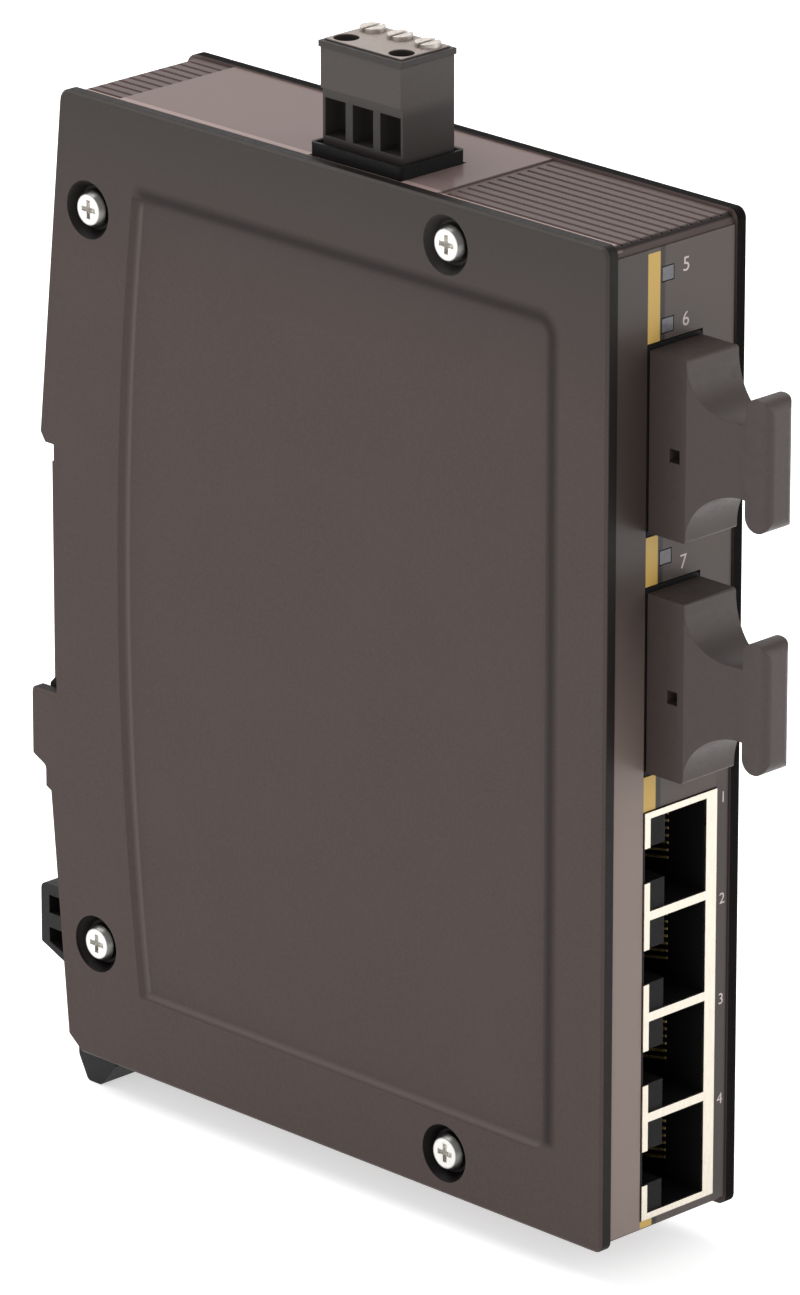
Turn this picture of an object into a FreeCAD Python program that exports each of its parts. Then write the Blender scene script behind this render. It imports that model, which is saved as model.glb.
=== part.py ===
import FreeCAD, Part
import math
import os

# Slim network switch for a 35 mm DIN rail: two duplex fibre ports, four copper ports and a
# plug-in power terminal in a moulded case of a screwed cover and a deep shell.
# Frame: X across the case with the cover at -X, Y from the front panel at -Y to the rail
# at +Y, Z up. The origin is the centre of the seat that lies on the rail. Sizes in mm.

# ---------------------------------------------------------------- case
case_depth = 102.5          # from the front edge to the seat on the rail
rail_centre_rise = 0.4      # rail's centre line, above the middle of the case's height
wall = 1.8
cover_thickness = 1.8
edge_bevel = 0.4
rim_width = 2.0             # full-height band of the shell beside the lowered walls
rim_step = 0.5              # how far the shell's walls lie below the band and the cover
front_corner_radius = 1.4
back_corner_radius = 2.0
top_back_setback = 2.2      # top rear corner, forward of the seat
middle_raise = 0.3          # smooth field on top, above the ribbed fields

fine_round = 0.3            # corner rounds of small moulded edges
soft_round = 0.8
cut_margin = 1.0            # how far an open cut reaches past the face it starts from

# rail recess and the lips beside it
rail_height = 35.0
rail_thickness = 1.0
rail_clearance = 0.2
seat_relief = 0.3           # the seat's two ends stand back from the rail beside the hooks
seat_relief_length = 2.4
upper_lip_depth = 2.6
upper_lip_height = 1.2
upper_lip_bevel = 0.8
lower_lip_depth = 4.9
lower_lip_height = 9.8
lower_lip_bevel = 1.2
lip_round = 0.5
ledge_depth = 2.4           # small step in the back edge under the lower lip
ledge_height = 2.9
ledge_bevel = 1.0
heel_setback = 1.6          # lower rear corner of the case
heel_height = 2.0

# fixed hook behind the rail's upper edge
hook_width = 14.0
hook_overlap = 1.7
hook_thickness = 1.6
hook_tip_thickness = 0.7
hook_lead_in = 0.9
hook_root = 0.5             # how far it reaches into the wall of the seat
hook_root_height = 4.0
hook_back_height = 2.0

# recessed panel on each side of the case
panel_depth = 0.7
panel_top_margin = 12.0
panel_bottom_margin = 11.3
panel_front_margin = 10.7
panel_back_margin = 16.0    # to the seat plane, at the panel's upper and lower ends
panel_bow = 3.5             # how far the back edge bulges towards the rail
panel_corner_radius = 2.0
panel_slope = 1.1           # width of the sloped edge at the back and the bottom
panel_draft = 0.1           # lean of the upright edges in front and on top

# ribbed fields on top
rib_pitch = 1.8
rib_groove_width = 0.6
rib_groove_depth = 0.35
front_ribs_length = 32.0
back_ribs_length = 9.0
rib_end_margin = 0.7

# case screws
screw_front_setback = 28.6
screw_front_inset = 5.8
screw_back_setback = 7.5
screw_upper_inset = 15.7
screw_lower_inset = 16.7
screw_head_radius = 2.6
screw_head_height = 1.5
screw_head_top_radius = 2.1
screw_shank_radius = 1.45
screw_length = 14.0
screw_clearance = 0.15
countersink_radius = 4.0
countersink_floor_radius = 3.0
countersink_depth = 1.6
boss_radius = 3.8           # on the inside of the cover, round each screw
boss_height = 1.2
boss_clearance = 0.15
pillar_radius = 3.2
pillar_foot_radius = 4.4
pillar_bore_end = 1.0       # depth of the screw's bore past its tip
cross_recess = 2.6
cross_recess_width = 0.7
cross_recess_depth = 1.0

# ---------------------------------------------------------------- latch at the back
latch_thickness = 2.5
latch_gap = 0.3
latch_side_gap = 0.5
latch_channel_depth = 4.2
latch_head_gap = 0.5
latch_lip_overlap = 1.6
latch_lip_thickness = 2.1
latch_lip_tip = 0.6
latch_lip_lead_in = 1.6
latch_head_height = 8.4
latch_head_taper = 2.6
latch_joint = 1.0           # how far its sections run into one another
latch_grip_drop = 29.1      # top of the grip, below the rail recess
latch_grip_height = 11.7
latch_grip_depth = 5.8
latch_grip_slant = 3.0
latch_bar = 1.6             # wall round the two slots in the grip
latch_bar_between = 2.1
grip_slot_height = 2.6      # the upper slot; the lower one fills the rest of the grip
latch_foot_drop = 5.0
latch_foot_depth = 7.2
latch_foot_flat = 2.6
latch_foot_slant = 1.8
latch_foot_round = 1.5
latch_slot_width = 6.4
latch_slot_depth = 1.6
latch_slot_inset = 2.6
latch_window_drop = 12.3    # top of the spring's window, below the rail recess
latch_window_height = 15.0
latch_window_width = 4.4
guide_rib_drop = 16.3       # top of the guide ribs, below the rail recess
guide_rib_height = 8.0
guide_rib_width = 1.7
guide_rib_depth = 1.1
spring_radius = 1.35
spring_wire = 0.5
spring_turns = 5
spring_stop_height = 1.5
spring_stop_gap = 0.3
spring_stop_proud = 0.8

# ---------------------------------------------------------------- circuit board
board_thickness = 1.6
board_face = 7.6            # component side, from the cover's outer face
board_clearance = 0.3
board_rear_setback = 12.2
board_notch_clearance = 0.3
board_post_radius = 2.2
board_post_setback = 16.0
board_post_height = 38.0

# copper ports
jack_count = 4
jack_pitch = 13.97
jack_height = 13.35         # above the board
jack_length = 16.0
jack_end_wall = 0.52
jack_bottom_margin = 2.5    # to the bottom of the case
jack_side_margin = 4.45     # to the far side of the case
shield_thickness = 0.3
shield_fit = 0.05
shield_strip = 1.0          # between the openings and the board, broken at each latch
socket_height = 12.75
socket_width = 7.4
socket_face_margin = 1.95   # from the shield's far side to the socket
socket_depth = 13.2
socket_latch_width = 4.8
contact_count = 8
contact_pitch = 1.02
contact_thickness = 0.35
contact_rise = 2.6
contact_length = 6.5
contact_tail = 2.0
contact_foot = 1.2

# fibre ports
transceiver_height = 9.8    # above the board
transceiver_span = 25.4
transceiver_length = 39.0
transceiver_rear_step = 0.8
transceiver_nose = 16.5     # full-height length behind the label
transceiver_round = 0.6
port_to_jack = 5.0          # from the lower port to the copper ports
port_to_port = 6.9
port_to_top = 14.4
fibre_pitch = 12.7
receptacle_span = 9.2
receptacle_width = 7.4
receptacle_depth = 12.5
sleeve_radius = 1.8
sleeve_bore_radius = 1.25
sleeve_length = 9.0
sleeve_end_wall = 1.0
pin_count = 9
pin_pitch = 2.54
pin_size = 0.5
pin_tail = 1.2
pin_row_setback = 2.0
port_fit = 0.15

# dust plugs
plug_block_span = 24.2
plug_block_width = 9.5
plug_block_length = 6.4
plug_scoop_radius = 6.7
plug_neck_half = 4.9
plug_neck_end = 14.4
plug_handle_span = 17.6
plug_handle_width = 4.8
plug_handle_depth = 4.0
plug_handle_radius = 1.9
plug_handle_edge = 1.2
plug_edge_round = 0.4
plug_post_radius = 3.3
plug_post_bore_radius = 2.1
plug_post_length = 8.6
plug_hole = 1.8
plug_hole_setback = 5.3
plug_hole_depth = 2.0

# front label and its windows
label_thickness = 0.25
label_margin = 0.1
window_size = 2.0
window_height = 1.8
window_from_cover = 11.1
window_drops = (5.6, 12.4)  # the two upper windows, below the top; the third is mid-ports
light_pipe_length = 5.0
led_length = 2.0
led_margin = 0.2

# power terminal
pole_count = 3
pole_pitch = 5.0
terminal_centre_from_cover = 8.3
terminal_setback = 47.4     # centre, from the front edge
terminal_width = 9.6
terminal_trim = 0.4         # how much shorter the plug is than its poles' pitches together
terminal_top = 15.1         # above the case top
terminal_lip = 0.2
terminal_lip_height = 0.8
terminal_crown = 0.3
terminal_crown_inset = 0.4
terminal_side_step = 0.4
terminal_shoulder = 8.8     # overhang line above the wire entries, above the case top
wire_entry_width = 3.7
wire_entry_height = 5.1
wire_entry_bottom = 2.4
wire_entry_depth = 4.2
terminal_screw_radius = 1.7
terminal_screw_height = 3.2
terminal_screw_offset = 2.3
terminal_screw_proud = 0.6
terminal_stem_radius = 1.2
screw_slot_width = 0.6
screw_slot_depth = 0.7
probe_hole_radius = 1.7
probe_hole_depth = 3.0
probe_hole_offset = 2.4
header_wall = 0.9
header_fit = 0.12
header_to_port = 0.4        # from the header down to the upper fibre port
header_floor = 3.0
header_rim = 1.6
header_round = 0.7
header_flare = 0.4
header_flare_height = 0.8
plug_seat_gap = 0.4
header_pin = 1.0
header_pin_length = 9.0
header_pin_drop = 4.5
clamp_outer = 3.2
clamp_inner = 2.2
clamp_height = 5.0
clamp_wall = 0.8
contact_outer = 2.4
contact_inner = 1.2
contact_end_gap = 0.3

# packages on the board: lengths along Y, heights along Z, thicknesses off the board
part_gap = 2.0
switch_chip_size = 20.0
switch_chip_lead_count = 7
converter_chip_size = 7.0
converter_chip_lead_count = 4
chip_thickness = 1.4
chip_standoff = 0.2
chip_lead_reach = 1.0
chip_lead_width = 0.4
chip_lead_thickness = 0.4
chip_lead_field = 0.8       # share of the side that carries leads
memory_chip_length = 6.0
memory_chip_height = 5.0
memory_chip_thickness = 1.6
crystal_height = 9.2
crystal_width = 3.6
crystal_round = 1.6
crystal_thickness = 3.4
transformer_length = 9.0
transformer_height = 12.6
transformer_thickness = 5.6
transformer_lead_count = 7
transformer_lead_pitch = 1.7
transformer_lead_width = 0.6
inductor_size = 11.0
inductor_thickness = 5.0
inductor_chamfer = 1.6
inductor_tab_height = 4.0
inductor_tab_reach = 0.5
inductor_tab_thickness = 0.6
capacitor_radius = 4.0
capacitor_length = 11.5
capacitor_base = 8.3
capacitor_base_thickness = 0.4
capacitor_pitch = 10.0
capacitor_drop = 9.3        # below the underside of the top wall
groove_height = 2.0
groove_width = 0.6
groove_depth = 0.3
fuse_size = (6.1, 2.6, 2.4)
diode_size = (5.2, 2.9, 2.2)
end_cap_share = 0.18
end_cap_step = 0.2
supply_drop = 31.6          # fuse and diode, below the underside of the top wall
converter_drop = 52.0       # converter chip and inductor, the same way

# ---------------------------------------------------------------- derived places
jack_block = jack_count * jack_pitch + jack_end_wall
ports_height = 2 * transceiver_span + port_to_port
case_width = board_face + jack_height + jack_side_margin
case_height = jack_bottom_margin + jack_block + port_to_jack + ports_height + port_to_top
left = -case_width / 2
right = case_width / 2
front = -case_depth
bottom = -case_height / 2 - rail_centre_rise
top = bottom + case_height
cover_inner = left + cover_thickness
rim_face = right - rim_width
wall_face = front + rim_step
panel_back_face = wall_face + wall
inner_top = top - rim_step - wall
inner_bottom = bottom + rim_step + wall
shell_inner = right - wall
slot_half = rail_height / 2 + rail_clearance
seat_half = slot_half - seat_relief_length
channel_face = -latch_channel_depth
latch_near = channel_face + latch_gap
latch_back = latch_near + latch_thickness
latch_window_top = -slot_half - latch_window_drop
latch_window_low = latch_window_top - latch_window_height
hook_gap = rail_thickness + latch_gap
label_face = wall_face - label_thickness

board_x = left + board_face
board_back = board_x - board_thickness
board_front = panel_back_face + board_clearance
board_rear = -board_rear_setback
front_screw_y = front + screw_front_setback
back_screw_y = -screw_back_setback
screw_places = (
    (back_screw_y, top - screw_upper_inset),
    (front_screw_y, top - screw_front_inset),
    (back_screw_y, bottom + screw_lower_inset),
    (front_screw_y, bottom + screw_front_inset),
)
board_post_y = -board_post_setback

jack_low = bottom + jack_bottom_margin
jack_high = jack_low + jack_block
jack_far = board_x + jack_height
jack_back = front + jack_length
socket_far = jack_far - socket_face_margin
socket_near = socket_far - socket_width
socket_back = front + socket_depth

upper_port_z = top - port_to_top - transceiver_span / 2
lower_port_z = jack_high + port_to_jack + transceiver_span / 2
port_centres = (upper_port_z, lower_port_z)
port_far = board_x + transceiver_height
port_middle = board_x + transceiver_height / 2
port_back = label_face + transceiver_length
receptacle_back = label_face + receptacle_depth

terminal_x = left + terminal_centre_from_cover
terminal_y = front + terminal_setback
terminal_length = pole_count * pole_pitch - terminal_trim
pole_places = [terminal_y + (i - (pole_count - 1) / 2) * pole_pitch for i in range(pole_count)]
header_bottom = top - port_to_top + header_to_port
header_half_x = terminal_width / 2 + header_fit + header_wall
header_half_y = terminal_length / 2 + header_fit + header_wall
plug_bottom = header_bottom + header_floor + plug_seat_gap
window_x = left + window_from_cover
window_centres = [top - drop for drop in window_drops] + [(upper_port_z + lower_port_z) / 2]


quarters = ((-1, -1), (1, -1), (1, 1), (-1, 1))     # signs of a rectangle's corners, in turn


# ---------------------------------------------------------------- helpers
def vec(x, y, z):
    return FreeCAD.Vector(x, y, z)


def block(x0, x1, y0, y1, z0, z1):
    return Part.makeBox(x1 - x0, y1 - y0, z1 - z0, vec(x0, y0, z0))


def rod_x(x0, x1, y, z, radius):
    return Part.makeCylinder(radius, x1 - x0, vec(x0, y, z), vec(1, 0, 0))


def rod_y(y0, y1, x, z, radius):
    return Part.makeCylinder(radius, y1 - y0, vec(x, y0, z), vec(0, 1, 0))


def rod_z(z0, z1, x, y, radius):
    return Part.makeCylinder(radius, z1 - z0, vec(x, y, z0), vec(0, 0, 1))


def cut(base, *tools):
    return base.cut(list(tools))


def join(*shapes):
    return shapes[0].fuse(list(shapes[1:])).removeSplitter()


def group(shapes):
    return Part.makeCompound(list(shapes))


def rounded_face(corners, place):
    """A face from corners (u, v, radius), each rounded by an arc where its radius isn't 0."""
    runs = []
    for i, (u, v, radius) in enumerate(corners):
        here = place(u, v)
        before = (place(*corners[i - 1][:2]) - here).normalize()
        after = (place(*corners[(i + 1) % len(corners)][:2]) - here).normalize()
        half = before.getAngle(after) / 2
        if radius:
            reach = radius / math.tan(half)
            middle = (before + after).normalize() * (radius / math.sin(half) - radius)
            runs.append((here + before * reach, here + middle, here + after * reach))
        else:
            runs.append((here, None, here))
    edges = []
    for i, (start, middle, end) in enumerate(runs):
        if middle:
            edges.append(Part.Arc(start, middle, end).toShape())
        edges.append(Part.LineSegment(end, runs[(i + 1) % len(runs)][0]).toShape())
    return Part.Face(Part.Wire(edges))


def prism_x(corners, x0, x1):
    """Extrudes an outline of (y, z, radius) corners along X."""
    return rounded_face(corners, lambda u, v: vec(x0, u, v)).extrude(vec(x1 - x0, 0, 0))


def prism_y(corners, y0, y1):
    """Extrudes an outline of (x, z, radius) corners along Y."""
    return rounded_face(corners, lambda u, v: vec(u, y0, v)).extrude(vec(0, y1 - y0, 0))


def prism_z(corners, z0, z1):
    """Extrudes an outline of (x, y, radius) corners along Z."""
    return rounded_face(corners, lambda u, v: vec(u, v, z0)).extrude(vec(0, 0, z1 - z0))


# ---------------------------------------------------------------- case
def seat_corners():
    """The back of the rail recess: the flat seat between its two relieved ends."""
    return [
        (-seat_relief, slot_half, 0),
        (-seat_relief, seat_half, 0),
        (0, seat_half, 0),
        (0, -seat_half, 0),
        (-seat_relief, -seat_half, 0),
        (-seat_relief, -slot_half, 0),
    ]


def case_outline():
    """Side view of the whole case, with the rail recess between its two lips."""
    lip_bottom = -slot_half - lower_lip_height
    ledge_top = lip_bottom - lower_lip_bevel
    return [
        (front, bottom, front_corner_radius),
        (front, top, front_corner_radius),
        (-top_back_setback, top, back_corner_radius),
        (upper_lip_depth, slot_half + upper_lip_height, lip_round),
        (upper_lip_depth - upper_lip_bevel, slot_half, 0),
        *seat_corners(),
        (lower_lip_depth, -slot_half, soft_round),
        (lower_lip_depth, lip_bottom, soft_round),
        (ledge_depth, ledge_top, lip_round),
        (ledge_depth, ledge_top - ledge_height, lip_round),
        (ledge_depth - ledge_bevel, ledge_top - ledge_height - lip_round, 0),
        (-heel_setback, bottom + heel_height, soft_round),
        (channel_face, bottom, soft_round),
    ]


def shell_outline():
    """Side view of the lowered walls between the cover and the shell's rim band."""
    return [
        (wall_face, bottom + rim_step, front_corner_radius),
        (wall_face, top - rim_step, front_corner_radius),
        (-top_back_setback - rim_step, top - rim_step, back_corner_radius),
        (upper_lip_depth - rim_step, slot_half + upper_lip_height, fine_round),
        (upper_lip_depth - rim_step - upper_lip_bevel, slot_half, 0),
        *seat_corners(),
        (channel_face, -slot_half, 0),
        (channel_face, bottom + rim_step, 0),
    ]


def panel_wire(x, side_inset, slope_inset):
    """Outline of the recessed panel at x: three straight edges and a bowed back edge."""
    y0 = front + panel_front_margin + side_inset
    y1 = -panel_back_margin - slope_inset
    z0 = bottom + panel_bottom_margin + slope_inset
    z1 = top - panel_top_margin - side_inset
    r = panel_corner_radius
    bend = r * (1 - math.sqrt(0.5))
    edges = [
        Part.LineSegment(vec(x, y1, z0), vec(x, y0 + r, z0)),
        Part.Arc(vec(x, y0 + r, z0), vec(x, y0 + bend, z0 + bend), vec(x, y0, z0 + r)),
        Part.LineSegment(vec(x, y0, z0 + r), vec(x, y0, z1 - r)),
        Part.Arc(vec(x, y0, z1 - r), vec(x, y0 + bend, z1 - bend), vec(x, y0 + r, z1)),
        Part.LineSegment(vec(x, y0 + r, z1), vec(x, y1, z1)),
        Part.Arc(vec(x, y1, z1), vec(x, y1 + panel_bow, (z0 + z1) / 2), vec(x, y1, z0)),
    ]
    return Part.Wire([edge.toShape() for edge in edges])


def panel_pocket(outer_x, inward):
    """Shallow pocket behind one side: upright edges in front and on top, sloped ones elsewhere."""
    mouth = panel_wire(outer_x, 0, 0)
    floor = panel_wire(outer_x + inward * panel_depth, panel_draft, panel_slope)
    return Part.makeLoft([mouth, floor], True, True)


def bevel_outer_edges(plate, x):
    """Bevels the outline's edges that lie in the plane at x, except in the rail recess."""
    edges = [e for e in plate.Edges if all(abs(v.X - x) < 1e-6 for v in e.Vertexes)
             and abs(e.CenterOfMass.z) > slot_half + 1e-6]
    return plate.makeChamfer(edge_bevel, edges)


def countersink(y, z):
    cone = Part.makeCone(countersink_radius, countersink_floor_radius, countersink_depth,
                         vec(left, y, z), vec(1, 0, 0))
    hole = rod_x(left, cover_inner + boss_height, y, z, screw_shank_radius + screw_clearance)
    return cone.fuse(hole)


def guide_rib(x0, x1):
    """Rib that holds the latch's edge in its channel from behind."""
    y = latch_back + latch_gap
    z = -slot_half - guide_rib_drop
    return block(x0, x1, y, y + guide_rib_depth, z - guide_rib_height, z)


def cover_bosses():
    """Bosses round the screws, trimmed where they come near the shell's walls."""
    inside = rounded_face(shell_outline(), lambda u, v: vec(cover_inner, u, v))
    inside = inside.makeOffset2D(-wall - boss_clearance).extrude(vec(boss_height, 0, 0))
    return [inside.common(rod_x(cover_inner, cover_inner + boss_height, y, z, boss_radius))
            for y, z in screw_places]


def left_cover():
    plate = prism_x(case_outline(), left, cover_inner)
    plate = bevel_outer_edges(plate, left)
    posts = [rod_x(cover_inner, board_back, board_post_y, side * board_post_height,
                   board_post_radius) for side in (1, -1)]
    rib = guide_rib(cover_inner, cover_inner + guide_rib_width)
    body = join(plate, *cover_bosses(), *posts, rib)
    return cut(body, panel_pocket(left, 1), *[countersink(y, z) for y, z in screw_places])


def rib_grooves(y0, y1):
    """Grooves along Y that leave ribs across one field of the top wall."""
    count = int((rim_face - cover_inner) / rib_pitch)
    start = (cover_inner + rim_face - (count - 1) * rib_pitch) / 2
    surface = top - rim_step
    return [block(start + i * rib_pitch - rib_groove_width / 2,
                  start + i * rib_pitch + rib_groove_width / 2,
                  y0, y1, surface - rib_groove_depth, surface + cut_margin) for i in range(count)]


def screw_pillar(y, z, shoulder):
    """Pillar that a case screw cuts into; a wider foot carries the circuit board."""
    pillar = rod_x(cover_inner + boss_height, shell_inner, y, z, pillar_radius)
    if shoulder:
        pillar = pillar.fuse(rod_x(board_x, shell_inner, y, z, pillar_foot_radius))
    return pillar


def pillar_hole(y, z):
    return rod_x(left, screw_tip() + pillar_bore_end, y, z, screw_shank_radius)


def screw_tip():
    return left + countersink_depth + screw_length


def rail_hook():
    """Fixed hook that reaches down behind the rail's upper edge."""
    tip = rail_height / 2 - hook_overlap
    back = hook_gap + hook_thickness
    return prism_x([
        (-hook_root, slot_half, 0),
        (hook_gap, slot_half, 0),
        (hook_gap, tip, 0),
        (hook_gap + hook_tip_thickness, tip, 0),
        (back, tip + hook_lead_in, fine_round),
        (back, slot_half + hook_back_height, fine_round),
        (-hook_root, slot_half + hook_root_height, 0),
    ], -hook_width / 2, hook_width / 2)


def spring_stop():
    """Tab in the latch's window that the lower end of the spring stands on."""
    low = latch_window_low + spring_stop_gap
    half = latch_window_width / 2 - latch_gap
    return block(-half, half, channel_face, latch_back + spring_stop_proud,
                 low, low + spring_stop_height)


def label_windows(grow):
    """Openings in the front for the light pipes."""
    w = window_size / 2 + grow
    h = window_height / 2 + grow
    return [block(window_x - w, window_x + w, front, panel_back_face, z - h, z + h)
            for z in window_centres]


def port_openings(grow, y0, y1):
    """Openings in the front for the two fibre ports and the block of copper ports."""
    half = transceiver_span / 2 + grow
    tools = [block(board_x - grow, port_far + grow, y0, y1, z - half, z + half)
             for z in port_centres]
    tools.append(block(board_x - grow, jack_far + grow, y0, y1, jack_low - grow, jack_high + grow))
    return tools


def header_opening():
    x = header_half_x + header_fit
    y = header_half_y + header_fit
    return block(terminal_x - x, terminal_x + x, terminal_y - y, terminal_y + y,
                 inner_top - cut_margin, top + cut_margin)


def right_shell():
    outer = rounded_face(shell_outline(), lambda u, v: vec(cover_inner, u, v))
    inner = outer.makeOffset2D(-wall)
    ring = outer.extrude(vec(rim_face - cover_inner, 0, 0))
    ring = ring.cut(inner.extrude(vec(shell_inner - cover_inner, 0, 0)))
    side = prism_x(case_outline(), rim_face, right)
    side = bevel_outer_edges(side, right)
    smooth = block(cover_inner, rim_face, wall_face + front_ribs_length,
                   -top_back_setback - back_ribs_length,
                   top - rim_step - wall / 2, top - rim_step + middle_raise)
    pillars = [screw_pillar(y, z, y == front_screw_y) for y, z in screw_places]
    posts = [rod_x(board_x, shell_inner, board_post_y, s * board_post_height,
                   board_post_radius) for s in (1, -1)]
    body = join(ring, side, smooth, *pillars, *posts, rail_hook(), spring_stop(),
                guide_rib(rim_face - guide_rib_width, rim_face))
    tools = [panel_pocket(right, -1), header_opening()]
    tools += port_openings(port_fit, front, panel_back_face)
    tools += label_windows(port_fit)
    tools += [pillar_hole(y, z) for y, z in screw_places]
    tools += rib_grooves(wall_face + rib_end_margin,
                         wall_face + front_ribs_length - rib_end_margin)
    tools += rib_grooves(-top_back_setback - back_ribs_length + rib_end_margin, 0)
    return cut(body, *tools)


def front_label():
    sheet = block(cover_inner + label_margin, rim_face - label_margin, label_face, wall_face,
                  bottom + front_corner_radius, top - rim_step - front_corner_radius)
    return cut(sheet, *port_openings(port_fit, front, wall_face), *label_windows(port_fit))


def cover_screw(y, z):
    """Pan-headed screw with a cross recess, its head sunk in the cover's countersink."""
    seat = left + countersink_depth
    head = Part.makeCone(screw_head_top_radius, screw_head_radius, screw_head_height / 2,
                         vec(seat - screw_head_height, y, z), vec(1, 0, 0))
    rim = rod_x(seat - screw_head_height / 2, seat, y, z, screw_head_radius)
    shank = rod_x(seat, screw_tip(), y, z, screw_shank_radius)
    half = cross_recess / 2
    slot = cross_recess_width / 2
    outside = seat - screw_head_height
    recess_end = outside + cross_recess_depth
    return cut(join(head, rim, shank),
               block(outside, recess_end, y - half, y + half, z - slot, z + slot),
               block(outside, recess_end, y - slot, y + slot, z - half, z + half))


# ---------------------------------------------------------------- latch
def latch_head(x0, x1):
    """Head with the lip that hooks under the rail's lower edge."""
    head_top = -slot_half - latch_head_gap
    lip_top = -rail_height / 2 + latch_lip_overlap
    lip_back = hook_gap + latch_lip_thickness
    low = head_top - latch_head_height
    return prism_x([
        (latch_near, head_top, 0),
        (hook_gap, head_top, 0),
        (hook_gap, lip_top, 0),
        (hook_gap + latch_lip_tip, lip_top, 0),
        (lip_back, lip_top - latch_lip_lead_in, fine_round),
        (lip_back, low, soft_round),
        (latch_back, low - latch_head_taper, 0),
        (latch_near, low - latch_head_taper, 0),
    ], x0, x1)


def latch_grip(x0, x1):
    """Grip behind the case, pierced by two slots."""
    high = -slot_half - latch_grip_drop
    low = high - latch_grip_height
    near = latch_back + latch_bar / 2
    far = latch_grip_depth - latch_bar
    split = high - latch_bar - grip_slot_height
    grip = prism_x([
        (latch_back - latch_joint, high, 0),
        (latch_grip_depth, high, latch_joint),
        (latch_grip_depth, low + latch_grip_slant, fine_round),
        (latch_back, low, 0),
        (latch_back - latch_joint, low, 0),
    ], x0, x1)
    upper = prism_x([(near, split, 0), (near, high - latch_bar, 0),
                     (far, high - latch_bar, 0), (far, split, 0)], x0, x1)
    lower = prism_x([(near, low + latch_bar, 0), (near, split - latch_bar_between, 0),
                     (far, split - latch_bar_between, 0),
                     (far, low + latch_grip_slant + fine_round, 0)], x0, x1)
    return cut(grip, upper, lower)


def latch_foot(x0, x1):
    """Foot under the case, with the slot for a screwdriver."""
    low = bottom - latch_foot_drop
    front_face = latch_back - latch_foot_depth
    ceiling = bottom - latch_head_gap
    foot = prism_x([
        (latch_back, bottom + latch_joint, 0),
        (latch_back, bottom - latch_slot_depth, latch_foot_round),
        (latch_back - latch_foot_slant, low, latch_foot_round / 2),
        (latch_back - latch_foot_slant - latch_foot_flat, low, latch_foot_round / 2),
        (front_face, ceiling - soft_round - fine_round, fine_round),
        (front_face, ceiling, 0),
        (latch_near, ceiling, 0),
        (latch_near, bottom + latch_joint, 0),
    ], x0, x1)
    y = latch_near - latch_slot_inset
    half = latch_slot_width / 2
    return foot.cut(block(-half, half, y, y + latch_slot_depth, low, ceiling))


def rail_latch():
    """Slider behind the case: hook under the rail, spring window, grip and foot."""
    x0 = cover_inner + latch_side_gap
    x1 = rim_face - latch_side_gap
    spine = block(x0, x1, latch_near, latch_back, bottom,
                  -slot_half - latch_head_gap - latch_head_height)
    half = latch_window_width / 2
    window = block(-half, half, latch_near, latch_back, latch_window_low, latch_window_top)
    body = join(spine, latch_head(x0, x1), latch_grip(x0, x1), latch_foot(x0, x1))
    return body.cut(window)


def latch_spring():
    """Compression spring in the latch's window, between the shell's stop and the latch."""
    low = latch_window_low + spring_stop_gap + spring_stop_height + spring_wire / 2
    length = latch_window_top - low - spring_wire / 2
    helix = Part.makeHelix(length / spring_turns, length, spring_radius)
    half = spring_wire / 2
    corners = [vec(spring_radius + sx * half, 0, sz * half) for sx, sz in quarters]
    section = Part.makePolygon(corners + corners[:1])
    coil = Part.Wire(helix).makePipeShell([section], True, True)
    coil.translate(vec(0, latch_near + spring_radius + spring_wire / 2, low))
    return coil


# ---------------------------------------------------------------- board and what it carries
def transceiver_pin_places(centre):
    y = port_back - pin_row_setback
    return [(y, centre + (i - (pin_count - 1) / 2) * pin_pitch) for i in range(pin_count)]


def square_pin(x0, x1, y, z, size):
    return block(x0, x1, y - size / 2, y + size / 2, z - size / 2, z + size / 2)


def header_pin_end():
    return header_bottom - header_pin_drop


def circuit_board():
    board = block(board_back, board_x, board_front, board_rear,
                  inner_bottom + board_clearance, inner_top - board_clearance)
    notch = pillar_radius + board_notch_clearance
    tools = []
    edges = ((screw_places[1][1], top), (bottom, screw_places[3][1]))
    for (low, high), z in zip(edges, (edges[0][0], edges[1][1])):
        tools.append(rod_x(board_back, board_x, front_screw_y, z, notch))
        tools.append(block(board_back, board_x, front_screw_y - notch, front_screw_y + notch,
                           low, high))
    y = header_half_y + board_clearance
    tools.append(block(board_back, board_x, terminal_y - y, terminal_y + y,
                       header_bottom - board_clearance, inner_top))
    for place in pole_places:
        tools.append(square_pin(board_back, board_x, place, header_pin_end(), header_pin))
    for centre in port_centres:
        tools += [square_pin(board_back, board_x, y, z, pin_size)
                  for y, z in transceiver_pin_places(centre)]
    return cut(board, *tools)


def socket_centres():
    middle = (jack_low + jack_high) / 2
    return [middle + (i - (jack_count - 1) / 2) * jack_pitch for i in range(jack_count)]


def socket_cavity(z, y0, y1):
    """Socket for one copper plug, with the channel for its latch towards the board."""
    half = socket_height / 2
    tab = socket_latch_width / 2
    near = board_x + shield_thickness + shield_fit
    return join(block(socket_near, socket_far, y0, y1, z - half, z + half),
                block(near, socket_near + cut_margin, y0, y1, z - tab, z + tab))


def shield_opening(z):
    """Opening of one socket in the shield's face, past the moulding's two corner blocks."""
    half = socket_height / 2
    tab = socket_latch_width / 2
    y1 = front + shield_thickness
    return join(block(board_x + shield_strip, socket_far, front, y1, z - half, z + half),
                block(board_x, socket_near, front, y1, z - tab, z + tab))


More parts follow.
